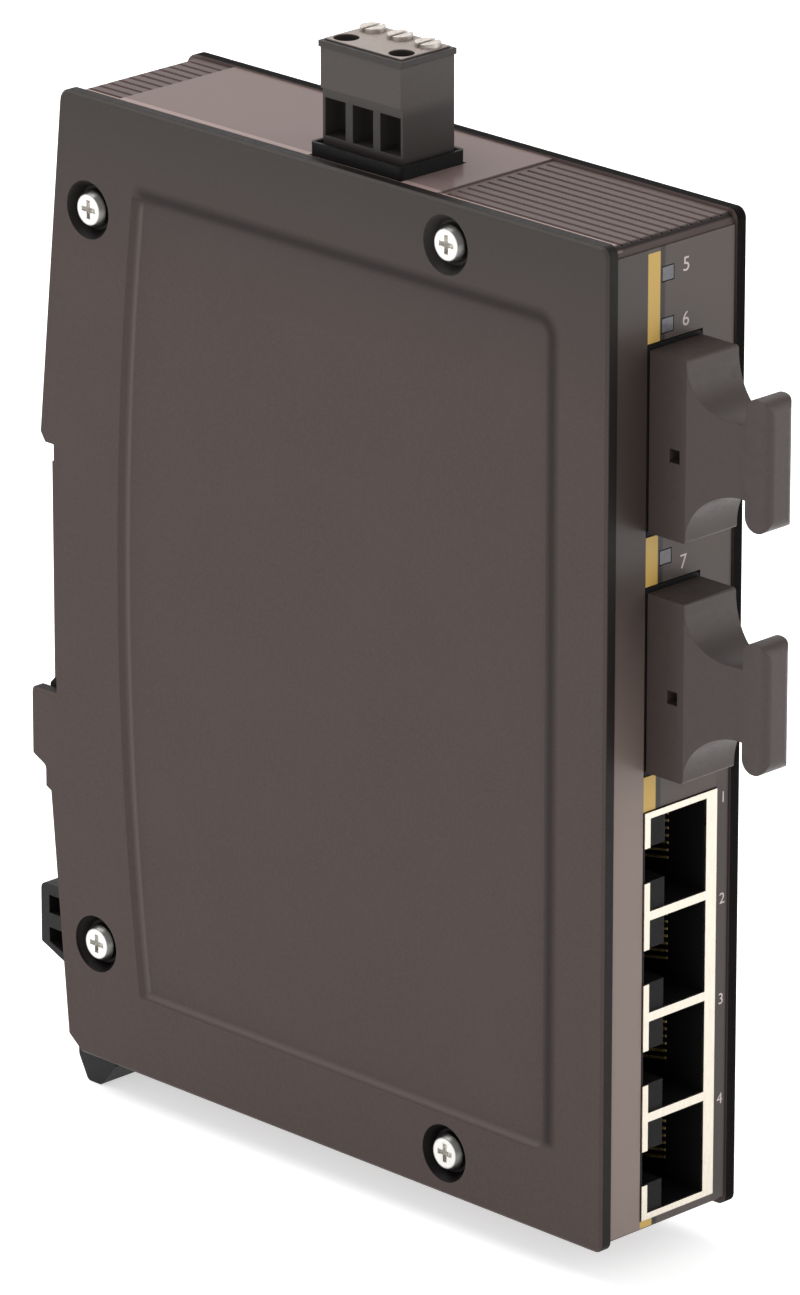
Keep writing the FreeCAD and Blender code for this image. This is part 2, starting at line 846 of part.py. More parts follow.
def jack_shield():
    """Folded steel shell round the block of sockets, open towards the board."""
    t = shield_thickness
    shell = block(board_x, jack_far, front, jack_back, jack_low, jack_high)
    shell = shell.cut(block(board_x - cut_margin, jack_far - t, front + t, jack_back - t,
                            jack_low + t, jack_high - t))
    return cut(shell, *[shield_opening(z) for z in socket_centres()])


def jack_housing():
    t = shield_thickness + shield_fit
    body = block(board_x, jack_far - t, front + t, jack_back - t, jack_low + t, jack_high - t)
    return cut(body, *[socket_cavity(z, front, socket_back) for z in socket_centres()])


def jack_contacts(centre):
    """Eight spring contacts that rise from the socket's far wall to its back wall."""
    x0 = socket_far
    y1 = socket_back
    y0 = y1 - contact_length
    t = contact_thickness
    blades = []
    for i in range(contact_count):
        z = centre + (i - (contact_count - 1) / 2) * contact_pitch
        rise = x0 - contact_rise
        path = [vec(x0, y0, z), vec(rise, y1 - contact_tail, z), vec(rise, y1, z),
                vec(rise + t, y1, z), vec(rise + t, y1 - contact_tail, z),
                vec(x0, y0 + contact_foot, z)]
        face = Part.Face(Part.makePolygon(path + path[:1]))
        face.translate(vec(0, 0, -t / 2))
        blades.append(face.extrude(vec(0, 0, t)))
    return group(blades)


def receptacle_places(centre):
    return [centre + side * fibre_pitch / 2 for side in (1, -1)]


def transceiver(centre):
    half = transceiver_span / 2
    r = transceiver_round
    body = prism_y([(board_x, centre - half, 0), (board_x, centre + half, 0),
                    (port_far, centre + half, r), (port_far, centre - half, r)],
                   label_face, port_back)
    tools = [block(port_far - transceiver_rear_step, port_far,
                   label_face + transceiver_nose, port_back, centre - half, centre + half)]
    w = receptacle_width / 2
    h = receptacle_span / 2
    for z in receptacle_places(centre):
        tools.append(block(port_middle - w, port_middle + w, label_face, receptacle_back,
                           z - h, z + h))
    return cut(body, *tools)


def ferrule_sleeves(centre):
    sleeves = []
    for z in receptacle_places(centre):
        y0 = receptacle_back - sleeve_length
        outer = rod_y(y0, receptacle_back, port_middle, z, sleeve_radius)
        sleeves.append(outer.cut(rod_y(y0, receptacle_back - sleeve_end_wall, port_middle, z,
                                       sleeve_bore_radius)))
    return group(sleeves)


def transceiver_pins(centre):
    return group(square_pin(board_back - pin_tail, board_x, y, z, pin_size)
                 for y, z in transceiver_pin_places(centre))


def dust_plug(centre):
    """Duplex plug: a block on two hollow posts, scooped and tapered into a T-shaped handle."""
    back = label_face - port_fit
    step = back - plug_block_length
    neck = back - plug_neck_end
    tip = neck - plug_handle_depth
    half = plug_block_span / 2
    grip = plug_handle_span / 2
    scoop = step - plug_scoop_radius
    r = plug_handle_radius
    side = rounded_face([
        (back, centre - half, 0),
        (step, centre - half, plug_edge_round),
        (step, centre - plug_neck_half, plug_scoop_radius),
        (neck, centre - plug_neck_half, 0),
        (neck, centre - grip, r),
        (tip, centre - grip, r),
        (tip, centre + grip, r),
        (neck, centre + grip, r),
        (neck, centre + plug_neck_half, 0),
        (step, centre + plug_neck_half, plug_scoop_radius),
        (step, centre + half, plug_edge_round),
        (back, centre + half, 0),
    ], lambda u, v: vec(port_middle - plug_block_width / 2, u, v))
    side = side.extrude(vec(plug_block_width, 0, 0))
    w = plug_block_width / 2
    g = plug_handle_width / 2
    e = plug_handle_edge
    plan = prism_z([
        (port_middle - w, back, 0), (port_middle + w, back, 0),
        (port_middle + w, step, 0), (port_middle + g, scoop, 0),
        (port_middle + g, tip, e), (port_middle - g, tip, e),
        (port_middle - g, scoop, 0), (port_middle - w, step, 0),
    ], centre - half, centre + half)
    body = side.common(plan)
    hole_y = back - plug_hole_setback
    hole = block(port_middle - w, port_middle - w + plug_hole_depth,
                 hole_y, hole_y + plug_hole, centre - plug_hole, centre)
    posts = [rod_y(back, back + plug_post_length, port_middle, z, plug_post_radius)
             for z in receptacle_places(centre)]
    bores = [rod_y(back, back + plug_post_length, port_middle, z, plug_post_bore_radius)
             for z in receptacle_places(centre)]
    return cut(join(body, *posts), hole, *bores)


def light_pipes():
    w = window_size / 2
    h = window_height / 2
    return group(block(window_x - w, window_x + w, label_face, label_face + light_pipe_length,
                       z - h, z + h) for z in window_centres)


def status_leds():
    w = window_size / 2 + led_margin
    h = window_height / 2 + led_margin
    y0 = label_face + light_pipe_length
    return group(block(board_x, window_x + w, y0, y0 + led_length, z - h, z + h)
                 for z in window_centres)


# ---------------------------------------------------------------- power terminal
def power_header():
    """Socket of the power terminal, sunk in the top wall with a flared rim."""
    x, y = header_half_x, header_half_y
    high = top + header_rim
    body = prism_z([(terminal_x + sx * x, terminal_y + sy * y, header_round)
                    for sx, sy in quarters], header_bottom, high)
    cavity_x = x - header_wall
    cavity_y = y - header_wall
    cavity = block(terminal_x - cavity_x, terminal_x + cavity_x,
                   terminal_y - cavity_y, terminal_y + cavity_y,
                   header_bottom + header_floor, high)
    loops = []
    for grow, z in ((0, high - header_flare_height), (header_flare, high)):
        corners = [vec(terminal_x + sx * (cavity_x + grow), terminal_y + sy * (cavity_y + grow), z)
                   for sx, sy in quarters]
        loops.append(Part.makePolygon(corners + corners[:1]))
    flare = Part.makeLoft(loops, True, True)
    pins = [block(terminal_x - header_pin / 2, terminal_x + header_pin / 2,
                  y0 - header_pin / 2, y0 + header_pin / 2,
                  header_bottom, header_bottom + header_floor) for y0 in pole_places]
    return cut(body, cavity, flare, *pins)


def header_pins():
    """Three bent pins from inside the socket to the circuit board."""
    h = header_pin / 2
    low = header_pin_end()
    high = header_bottom + header_floor + header_pin_length
    pins = []
    for y in pole_places:
        upright = block(terminal_x - h, terminal_x + h, y - h, y + h, low - h, high)
        foot = block(board_back - pin_tail, terminal_x + h, y - h, y + h, low - h, low + h)
        pins.append(join(upright, foot))
    return group(pins)


def terminal_box(x_grow, y_grow, z0, z1):
    half_x = terminal_width / 2 + x_grow
    half_y = terminal_length / 2 + y_grow
    return block(terminal_x - half_x, terminal_x + half_x,
                 terminal_y - half_y, terminal_y + half_y, z0, z1)


def power_plug():
    """Plug body with a lip and a crown on top, three wire entries and two probe holes."""
    high = top + terminal_top
    lip = terminal_box(terminal_lip, terminal_lip, high - terminal_lip_height, high)
    crown = terminal_box(-terminal_crown_inset, -terminal_crown_inset, high, high + terminal_crown)
    body = join(terminal_box(0, 0, plug_bottom, high), lip, crown)
    face = terminal_x - terminal_width / 2
    half_y = terminal_length / 2
    tools = [block(face, face + terminal_side_step, terminal_y - half_y, terminal_y + half_y,
                   plug_bottom, top + terminal_shoulder)]
    entry_low = top + wire_entry_bottom
    for y in pole_places:
        tools.append(block(face, face + terminal_side_step + wire_entry_depth,
                           y - wire_entry_width / 2, y + wire_entry_width / 2,
                           entry_low, entry_low + wire_entry_height))
        tools.append(rod_z(entry_low, high + terminal_crown, terminal_x + terminal_screw_offset, y,
                           terminal_screw_radius))
        tools.append(clamp_block(y, clamp_outer))
        tools.append(contact_block(y, contact_outer, plug_bottom))
    for y in (pole_places[0], pole_places[-1]):
        tools.append(rod_z(high + terminal_crown - probe_hole_depth, high + terminal_crown,
                           terminal_x - probe_hole_offset, y, probe_hole_radius))
    return cut(body, *tools)


def clamp_block(y, size):
    """Space of one clamp, behind its wire entry and under its screw."""
    x0 = terminal_x - terminal_width / 2 + terminal_side_step + wire_entry_depth
    return block(x0, x0 + size, y - size / 2, y + size / 2,
                 top + wire_entry_bottom, top + wire_entry_bottom + clamp_height)


def contact_block(y, size, z0):
    return block(terminal_x - size / 2, terminal_x + size / 2, y - size / 2, y + size / 2,
                 z0, top + wire_entry_bottom)


def plug_clamps():
    """Metal frames that the screws draw up on the wires."""
    frames = []
    for y in pole_places:
        low = top + wire_entry_bottom
        hole = block(left, right, y - clamp_inner / 2, y + clamp_inner / 2,
                     low + clamp_wall, low + clamp_height - clamp_wall)
        frames.append(clamp_block(y, clamp_outer).cut(hole))
    return group(frames)


def plug_contacts():
    """Sleeves that slide on the header's pins."""
    sleeves = []
    for y in pole_places:
        bore = block(terminal_x - contact_inner / 2, terminal_x + contact_inner / 2,
                     y - contact_inner / 2, y + contact_inner / 2,
                     plug_bottom,
                     header_bottom + header_floor + header_pin_length + contact_end_gap)
        sleeves.append(contact_block(y, contact_outer, plug_bottom).cut(bore))
    return group(sleeves)


def plug_clamp_screws():
    head_top = top + terminal_top + terminal_crown + terminal_screw_proud
    screws = []
    for y in pole_places:
        x = terminal_x + terminal_screw_offset
        head = rod_z(head_top - terminal_screw_height, head_top, x, y, terminal_screw_radius)
        stem = rod_z(top + wire_entry_bottom + clamp_height, head_top, x, y,
                     terminal_stem_radius)
        slot = block(x - terminal_screw_radius, x + terminal_screw_radius,
                     y - screw_slot_width / 2, y + screw_slot_width / 2,
                     head_top - screw_slot_depth, head_top)
        screws.append(cut(join(head, stem), slot))
    return group(screws)


# ---------------------------------------------------------------- parts on the board
def board_part(y, z, length, height, thickness):
    """Flat package on the board, centred at y, z."""
    return block(board_x, board_x + thickness, y - length / 2, y + length / 2,
                 z - height / 2, z + height / 2)


def flat_chip(y, z, size, leads, directions):
    """Package on flat leads, along two sides or, with both directions, along all four."""
    body = board_part(y, z, size, size, chip_thickness)
    body = body.cut(board_part(y, z, size, size, chip_standoff))
    pitch = size * chip_lead_field / (leads - 1)
    reach = size / 2 + chip_lead_reach / 2
    width, thickness = chip_lead_width, chip_lead_thickness
    parts = [body]
    for i in range(leads):
        shift = (i - (leads - 1) / 2) * pitch
        for side in (1, -1):
            parts.append(board_part(y + side * reach, z + shift, chip_lead_reach, width, thickness))
            if directions == 2:
                parts.append(board_part(y + shift, z + side * reach, width, chip_lead_reach,
                                        thickness))
    return join(*parts)


def line_transformer(y, z):
    body = board_part(y, z, transformer_length, transformer_height, transformer_thickness)
    reach = transformer_length / 2 + chip_lead_reach / 2
    leads = [board_part(y + side * reach, z + (i - (transformer_lead_count - 1) / 2)
                        * transformer_lead_pitch, chip_lead_reach, transformer_lead_width,
                        chip_lead_thickness)
             for i in range(transformer_lead_count) for side in (1, -1)]
    return join(body, *leads)


def power_inductor(y, z):
    body = board_part(y, z, inductor_size, inductor_size, inductor_thickness)
    upright = [e for e in body.Edges if abs(e.tangentAt(0).x) > 0.9]
    body = body.makeChamfer(inductor_chamfer, upright)
    return join(body, board_part(y, z, inductor_size + 2 * inductor_tab_reach,
                                 inductor_tab_height, inductor_tab_thickness))


def input_capacitor(y, z):
    """Upright aluminium can with a rolled groove near its base."""
    foot = board_x + capacitor_base_thickness
    low = board_x + groove_height
    can = rod_x(foot, board_x + capacitor_length, y, z, capacitor_radius)
    groove = rod_x(low, low + groove_width, y, z, capacitor_radius).cut(
        rod_x(low, low + groove_width, y, z, capacitor_radius - groove_depth))
    base = board_part(y, z, capacitor_base, capacitor_base, capacitor_base_thickness)
    return join(can.cut(groove), base)


def clock_crystal(y, z):
    """Drawn can with rounded ends."""
    h = crystal_height / 2
    w = crystal_width / 2
    r = crystal_round
    return prism_x([(y - w, z - h, r), (y - w, z + h, r), (y + w, z + h, r), (y + w, z - h, r)],
                   board_x, board_x + crystal_thickness)


def end_capped_part(y, z, size):
    """Small two-ended package whose caps are a little wider than its body."""
    length, height, thickness = size
    cap = length * end_cap_share
    ends = [board_part(y + side * (length - cap) / 2, z, cap, height, thickness)
            for side in (1, -1)]
    return join(board_part(y, z, length, height - end_cap_step, thickness - end_cap_step), *ends)


def board_parts():
    """Packages in rows from the sockets to the rear, and the supply parts under the terminal."""
    centres = socket_centres()
    transformer_y = jack_back + part_gap + transformer_length / 2 + chip_lead_reach
    chip_y = transformer_y + transformer_length / 2 + part_gap + switch_chip_size / 2
    chip_y += 2 * chip_lead_reach
    chip_z = (jack_low + jack_high) / 2
    memory_y = chip_y + switch_chip_size / 2 + chip_lead_reach + part_gap + memory_chip_length / 2
    crystal_z = chip_z + memory_chip_height / 2 + part_gap + crystal_height / 2
    supply_z = inner_top - supply_drop
    converter_z = inner_top - converter_drop
    inductor_y = port_back + part_gap + inductor_size / 2 + inductor_tab_reach
    converter_y = inductor_y + inductor_size / 2 + part_gap + converter_chip_size
    fuse_y = port_back + part_gap + fuse_size[0]
    diode_y = fuse_y + fuse_size[0] + part_gap
    capacitor_y = board_rear - part_gap - capacitor_base
    capacitor_z = inner_top - capacitor_drop
    return {
        "line_transformer_1": line_transformer(transformer_y, (centres[0] + centres[1]) / 2),
        "line_transformer_2": line_transformer(transformer_y, (centres[2] + centres[3]) / 2),
        "switch_chip": flat_chip(chip_y, chip_z, switch_chip_size, switch_chip_lead_count, 2),
        "memory_chip": board_part(memory_y, chip_z, memory_chip_length, memory_chip_height,
                                  memory_chip_thickness),
        "clock_crystal": clock_crystal(memory_y, crystal_z),
        "power_inductor": power_inductor(inductor_y, converter_z),
        "converter_chip": flat_chip(converter_y, converter_z, converter_chip_size,
                                    converter_chip_lead_count, 1),
        "input_fuse": end_capped_part(fuse_y, supply_z, fuse_size),
        "input_diode": end_capped_part(diode_y, supply_z, diode_size),
        "input_capacitor_1": input_capacitor(capacitor_y, capacitor_z),
        "input_capacitor_2": input_capacitor(capacitor_y - capacitor_pitch, capacitor_z),
    }


def all_parts():
    parts = {
        "left_cover": left_cover(),
        "right_shell": right_shell(),
        "front_label": front_label(),
        "rail_latch": rail_latch(),
        "latch_spring": latch_spring(),
        "circuit_board": circuit_board(),
        "jack_shield": jack_shield(),
        "jack_housing": jack_housing(),
        "status_light_pipes": light_pipes(),
        "status_leds": status_leds(),
        "power_header": power_header(),
        "header_pins": header_pins(),
        "power_plug": power_plug(),
        "plug_clamps": plug_clamps(),
        "plug_contacts": plug_contacts(),
        "plug_clamp_screws": plug_clamp_screws(),
    }
    for i, (y, z) in enumerate(screw_places):
        parts["cover_screw_%d" % (i + 1)] = cover_screw(y, z)
    for i, z in enumerate(socket_centres()):
        parts["jack_contacts_%d" % (i + 1)] = jack_contacts(z)
    for name, centre in zip(("upper", "lower"), port_centres):
        parts[name + "_transceiver"] = transceiver(centre)
        parts[name + "_ferrule_sleeves"] = ferrule_sleeves(centre)
        parts[name + "_transceiver_pins"] = transceiver_pins(centre)
        parts[name + "_dust_plug"] = dust_plug(centre)
    parts.update(board_parts())
    return parts


os.makedirs("parts", exist_ok=True)
for node, shape in all_parts().items():
    shape.exportStep("parts/" + node + ".step")
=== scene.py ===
import math

import bmesh
import bpy
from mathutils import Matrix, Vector


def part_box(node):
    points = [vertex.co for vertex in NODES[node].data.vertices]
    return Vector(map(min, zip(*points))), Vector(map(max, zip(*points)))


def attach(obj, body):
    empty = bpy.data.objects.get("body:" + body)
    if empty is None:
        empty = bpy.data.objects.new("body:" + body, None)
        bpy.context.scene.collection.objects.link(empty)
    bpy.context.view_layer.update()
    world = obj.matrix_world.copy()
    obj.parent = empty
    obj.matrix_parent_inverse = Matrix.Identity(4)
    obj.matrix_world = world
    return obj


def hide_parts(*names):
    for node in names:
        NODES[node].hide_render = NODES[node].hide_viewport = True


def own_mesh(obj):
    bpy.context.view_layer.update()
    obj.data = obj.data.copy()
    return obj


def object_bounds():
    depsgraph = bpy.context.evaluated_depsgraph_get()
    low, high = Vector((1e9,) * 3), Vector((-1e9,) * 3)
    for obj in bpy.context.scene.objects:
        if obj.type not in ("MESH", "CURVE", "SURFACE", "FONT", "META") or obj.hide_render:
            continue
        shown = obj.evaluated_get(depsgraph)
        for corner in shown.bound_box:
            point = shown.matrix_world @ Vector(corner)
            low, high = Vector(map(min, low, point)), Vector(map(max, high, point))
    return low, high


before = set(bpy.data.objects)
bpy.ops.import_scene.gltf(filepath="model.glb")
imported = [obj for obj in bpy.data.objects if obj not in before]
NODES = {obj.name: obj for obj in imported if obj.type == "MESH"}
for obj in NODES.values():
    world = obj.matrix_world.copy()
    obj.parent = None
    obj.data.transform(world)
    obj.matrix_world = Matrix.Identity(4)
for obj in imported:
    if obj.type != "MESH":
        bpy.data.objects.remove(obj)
CAD_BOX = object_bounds()
MM = 0.001

# ---------------------------------------------------------------- places from the frame
CASE_LOW, CASE_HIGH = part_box("left_cover")
SHELL_LOW, SHELL_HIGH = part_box("right_shell")
LABEL_LOW, LABEL_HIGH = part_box("front_label")
JACK_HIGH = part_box("jack_shield")[1]
WINDOWS_LOW, WINDOWS_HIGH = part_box("status_light_pipes")
SPRING_LOW, SPRING_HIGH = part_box("latch_spring")
PLUG_LOW, PLUG_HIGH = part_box("power_plug")
SCREWS = ["cover_screw_%d" % i for i in range(1, 5)]
CONTACTS = ["jack_contacts_%d" % i for i in range(1, 5)]

# sizes of the case that its materials follow
RIM_FACE = SHELL_HIGH.x - 2.0 * MM      # inner face of the shell's full-height band
ROOF = SHELL_HIGH.z - 0.5 * MM          # ribbed fields on top
PANEL_FRONT = CASE_LOW.y + 10.7 * MM
PANEL_BACK = -16.0 * MM                 # at its upper and lower ends
PANEL_BOW = 3.5 * MM                    # how far its back edge bulges
PANEL_SLOPE = 1.1 * MM
PANEL_TOP = CASE_HIGH.z - 12.0 * MM
PANEL_BOTTOM = CASE_LOW.z + 11.3 * MM
COUNTERSINK_RADIUS = 4.05 * MM
SCREW_FACE_RADIUS = 2.0 * MM
STRIPE_INSET = 5.6 * MM                 # from the label's left edge
STRIPE_WIDTH = 2.2 * MM
SOCKET_PITCH = 13.97 * MM

# grain and shine of the case's plastic
GRAIN = 0.35 * MM
SHINE_GRAIN = 0.7 * MM
CONTRAST = 0.10
EDGE_SOFTNESS = 0.12 * MM
CASE_GLOSS = 0.13


def middle(node):
    """Centre of a CAD node's box."""
    low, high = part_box(node)
    return (low + high) / 2


# ---------------------------------------------------------------- colours, linear RGB
CHARCOAL = (0.058, 0.042, 0.039)
# painted shade: the cover's charcoal darkened towards its top
UPPER_SHADE_CHARCOAL = (0.038, 0.034, 0.031)
BLACK_PLASTIC = (0.008, 0.007, 0.007)
GLINT_CHARCOAL = (0.094, 0.076, 0.071)
# painted shade: near black for the countersinks and the shell's rim band
SHADE_BLACK = (0.002, 0.001, 0.001)
CAP_BLACK = (0.046, 0.034, 0.031)
PLUG_BLACK = (0.052, 0.044, 0.040)
PLUG_TOP_GREY = (0.24, 0.20, 0.18)
LABEL_GREY = (0.056, 0.042, 0.037)
STRIPE_YELLOW = (0.42, 0.27, 0.065)
PRINT_GREY = (0.42, 0.36, 0.35)
BRIGHT_STEEL = (0.92, 0.90, 0.86)
SHIELD_TIN = (0.68, 0.62, 0.53)
GOLD = (0.83, 0.60, 0.24)
SPRING_STEEL = (0.62, 0.62, 0.62)
CLAMP_GREY = (0.50, 0.46, 0.42)
TINNED_BRASS = (0.80, 0.78, 0.74)
CAN_GREY = (0.80, 0.80, 0.82)
CERAMIC_WHITE = (0.75, 0.75, 0.72)
EPOXY_BLACK = (0.020, 0.020, 0.022)
PAPER_LOW, PAPER_HIGH = (0.74, 0.74, 0.74), (0.76, 0.76, 0.76)
WINDOW_BLUE_GREY = (0.075, 0.075, 0.085)
SOLDER_GREEN = (0.015, 0.13, 0.05)


# ---------------------------------------------------------------- materials
class Nodes:
    """Short names for building one material's nodes."""

    def __init__(self, name):
        self.material = bpy.data.materials.new(name)
        self.material.use_nodes = True
        self.tree = self.material.node_tree
        self.shader = self.tree.nodes["Principled BSDF"]
        coordinates = self.tree.nodes.new("ShaderNodeTexCoord")
        self.place = coordinates.outputs["Object"]

    def link(self, source, target):
        """Joins an output to an input."""
        self.tree.links.new(source, target)

    def set(self, **values):
        """Constants of the shader, by the name of the input with underscores."""
        for key, value in values.items():
            self.shader.inputs[key.replace("_", " ")].default_value = value

    def noise(self, size, detail=3.0, stretch=(1, 1, 1)):
        """Noise with features of about that size in metres, drawn out along the axes of stretch."""
        mapping = self.tree.nodes.new("ShaderNodeMapping")
        mapping.inputs["Scale"].default_value = [1 / s for s in stretch]
        texture = self.tree.nodes.new("ShaderNodeTexNoise")
        texture.inputs["Scale"].default_value = 1 / size
        texture.inputs["Detail"].default_value = detail
        self.link(self.place, mapping.inputs["Vector"])
        self.link(mapping.outputs["Vector"], texture.inputs["Vector"])
        return texture.outputs["Fac"]

    def spread(self, value, low, high):
        """Maps a noise's middle range to low..high."""
        node = self.tree.nodes.new("ShaderNodeMapRange")
        node.inputs["From Min"].default_value = 0.3
        node.inputs["From Max"].default_value = 0.7
        node.inputs["To Min"].default_value = low
        node.inputs["To Max"].default_value = high
        self.link(value, node.inputs["Value"])
        return node.outputs["Result"]

    def mix(self, factor, a, b):
        """Colour a where factor is 0 and b where it is 1; each is a colour or an output."""
        node = self.tree.nodes.new("ShaderNodeMix")
        node.data_type = "RGBA"
        self.link(factor, node.inputs["Factor"])
        for socket, value in ((node.inputs[6], a), (node.inputs[7], b)):
            if isinstance(value, tuple):
                socket.default_value = (*value, 1)
            else:
                self.link(value, socket)
        return node.outputs[2]

    def math(self, operation, a, b):
        """One operation on two values, each a number or an output."""
        node = self.tree.nodes.new("ShaderNodeMath")
        node.operation = operation
        for socket, value in zip(node.inputs, (a, b)):
            if isinstance(value, (int, float)):
                socket.default_value = value
            else:
                self.link(value, socket)
        return node.outputs["Value"]

    def axis(self, letter):
        """One coordinate of the place on the part, in metres."""
        node = self.tree.nodes.new("ShaderNodeSeparateXYZ")
        self.link(self.place, node.inputs["Vector"])
        return node.outputs[letter]

    def band(self, value, low, high, soft):
        """1 between low and high, fading to 0 over soft at each end."""
        centre, half = (low + high) / 2, (high - low) / 2
        offset = self.math("ABSOLUTE", self.math("SUBTRACT", value, centre), 0)
        node = self.tree.nodes.new("ShaderNodeMapRange")
        node.inputs["From Min"].default_value = half + soft
        node.inputs["From Max"].default_value = half - soft
        self.link(offset, node.inputs["Value"])
        return node.outputs["Result"]

    def both(self, *masks):
        """Product of masks: 1 where all of them are 1."""
        product = masks[0]
        for mask in masks[1:]:
            product = self.math("MULTIPLY", product, mask)
        return product

    def disc(self, y, z, radius, soft):
        """1 within radius of the line along X through y, z, fading to 0 over soft."""
        flat = self.tree.nodes.new("ShaderNodeVectorMath")
        flat.operation = "MULTIPLY"
        flat.inputs[1].default_value = (0, 1, 1)
        self.link(self.place, flat.inputs[0])
        distance = self.tree.nodes.new("ShaderNodeVectorMath")
        distance.operation = "DISTANCE"
        distance.inputs[1].default_value = (0, y, z)
        self.link(flat.outputs["Vector"], distance.inputs[0])
        return self.band(distance.outputs["Value"], -radius, radius, soft)

    def bump(self, height, distance, strength=1.0, edge=0.0):
        """Relief from a height output; edge softens the look of sharp corners by that radius."""
        node = self.tree.nodes.new("ShaderNodeBump")
        node.inputs["Strength"].default_value = strength
        node.inputs["Distance"].default_value = distance
        self.link(height, node.inputs["Height"])
        if edge:
            bevel = self.tree.nodes.new("ShaderNodeBevel")
            bevel.samples = 4
            bevel.inputs["Radius"].default_value = edge
            self.link(bevel.outputs["Normal"], node.inputs["Normal"])
        self.link(node.outputs["Normal"], self.shader.inputs["Normal"])


def shade(colour, factor):
    """The colour made darker or lighter by a factor."""
    return tuple(c * factor for c in colour)


def grained(n, colour, grain, contrast):
    """Base colour with a fine spark-eroded grain and slow shifts of shade."""
    fine = n.noise(grain, 4.0)
    tone = n.mix(n.spread(fine, 0, 1), shade(colour, 1 - contrast), shade(colour, 1 + contrast))
    drift = n.mix(n.spread(n.noise(14 * MM, 2.0), 0, 0.35), tone, shade(colour, 1.12))
    return fine, drift


def moulded(name, colour, roughness=0.5, grain=GRAIN, relief=0.012 * MM, edge=EDGE_SOFTNESS,
            contrast=CONTRAST, gloss=0.5):
    """Moulded plastic, the same all over."""
    n = Nodes(name)
    fine, tone = grained(n, colour, grain, contrast)
    n.link(tone, n.shader.inputs["Base Color"])
    n.link(n.spread(n.noise(grain * 2, 2.0), roughness - 0.05, roughness + 0.06),
           n.shader.inputs["Roughness"])
    n.set(Specular_IOR_Level=gloss)
    n.bump(fine, relief, 1.0, edge)
    return n.material


def panel_edge(n, x):
    """1 on a dark line round the recessed panel's front and upper edges, in their shade."""
    y, z = n.axis("Y"), n.axis("Z")
    outer_front, outer_top = PANEL_FRONT - 1.9 * MM, PANEL_TOP + 1.4 * MM
    corner, width = 3.4 * MM, 1.7 * MM
    off_y = n.math("MAXIMUM", n.math("SUBTRACT", outer_front + corner, y), 0)
    off_z = n.math("MAXIMUM", n.math("SUBTRACT", z, outer_top - corner), 0)
    reach = n.math("ADD", n.math("POWER", off_y, 2), n.math("POWER", off_z, 2))
    inward = n.math("SUBTRACT", corner, n.math("POWER", reach, 0.5))
    line = n.band(inward, 0, width, 0.6 * MM)
    area = n.both(n.band(y, outer_front - MM, PANEL_BACK - MM, MM),
                  n.band(z, PANEL_BOTTOM + 1.2 * MM, outer_top + MM, 0.5 * MM))
    return n.both(line, area, n.band(x, CASE_LOW.x - MM, CASE_LOW.x + MM, 0.1 * MM))


def panel_glint(n, x):
    """1 on the lit slopes along the recessed panel's lower and bowed rear edges."""
    y, z = n.axis("Y"), n.axis("Z")
    lower = n.both(n.band(z, PANEL_BOTTOM + 0.2 * MM, PANEL_BOTTOM + 0.9 * MM, 0.3 * MM),
                   n.band(y, PANEL_FRONT + 0.3 * MM, PANEL_BACK - 1.3 * MM, 0.3 * MM))
    centre, half = (PANEL_BOTTOM + PANEL_TOP) / 2, (PANEL_TOP - PANEL_BOTTOM) / 2
    along = n.math("DIVIDE", n.math("SUBTRACT", z, centre), half)
    bulge = n.math("MULTIPLY", n.math("SUBTRACT", 1, n.math("MULTIPLY", along, along)),
                   PANEL_BOW)
    past = n.math("SUBTRACT", n.math("SUBTRACT", y, bulge), PANEL_BACK - PANEL_SLOPE)
    rear = n.both(n.band(past, -0.5 * MM, 0.15 * MM, 0.25 * MM),
                  n.band(z, PANEL_BOTTOM + 0.5 * MM, PANEL_TOP - MM, 0.5 * MM))
    return n.both(n.math("MAXIMUM", lower, rear),
                  n.band(x, CASE_LOW.x + 0.1 * MM, CASE_LOW.x + MM, 0.1 * MM))


def cover_plastic():
    """Charcoal moulding; painted shade in the countersinks, on its rim, towards its top and on the
    panel's edges.
    """
    n = Nodes("case_cover")
    fine, tone = grained(n, CHARCOAL, GRAIN, CONTRAST)
    x, y, z = n.axis("X"), n.axis("Y"), n.axis("Z")
    # painted shade: near black in each screw's countersink
    sunk = n.band(x, CASE_LOW.x + 0.03 * MM, CASE_LOW.x + 3 * MM, 0.03 * MM)
    for name in SCREWS:
        centre = middle(name)
        hole = n.disc(centre.y, centre.z, COUNTERSINK_RADIUS, 0.1 * MM)
        tone = n.mix(n.both(sunk, hole), tone, SHADE_BLACK)
    # painted shade: the cover darker towards its top
    upper = n.band(z, CASE_HIGH.z - 9 * MM, CASE_HIGH.z + 30 * MM, 14 * MM)
    tone = n.mix(upper, tone, UPPER_SHADE_CHARCOAL)
    tone = n.mix(panel_edge(n, x), tone, shade(CHARCOAL, 0.34))
    tone = n.mix(panel_glint(n, x), tone, GLINT_CHARCOAL)
    # painted shade: near black on the cover's rim and edges outside its flat face
    inside = n.both(n.band(y, CASE_LOW.y + 1.5 * MM, -6 * MM, 0.2 * MM),
                    n.band(z, CASE_LOW.z + 1.2 * MM, CASE_HIGH.z - 1.2 * MM, 0.2 * MM))
    shaded_rim = n.both(n.band(x, CASE_LOW.x + 0.36 * MM, CASE_LOW.x + 6 * MM, 0.06 * MM),
                 n.math("SUBTRACT", 1, inside))
    tone = n.mix(shaded_rim, tone, shade(CHARCOAL, 0.15))
    n.link(tone, n.shader.inputs["Base Color"])
    n.link(n.spread(n.noise(SHINE_GRAIN, 2.0), 0.46, 0.56), n.shader.inputs["Roughness"])
    n.set(Specular_IOR_Level=CASE_GLOSS)
    n.bump(fine, 0.012 * MM, 1.0, EDGE_SOFTNESS)
    return n.material


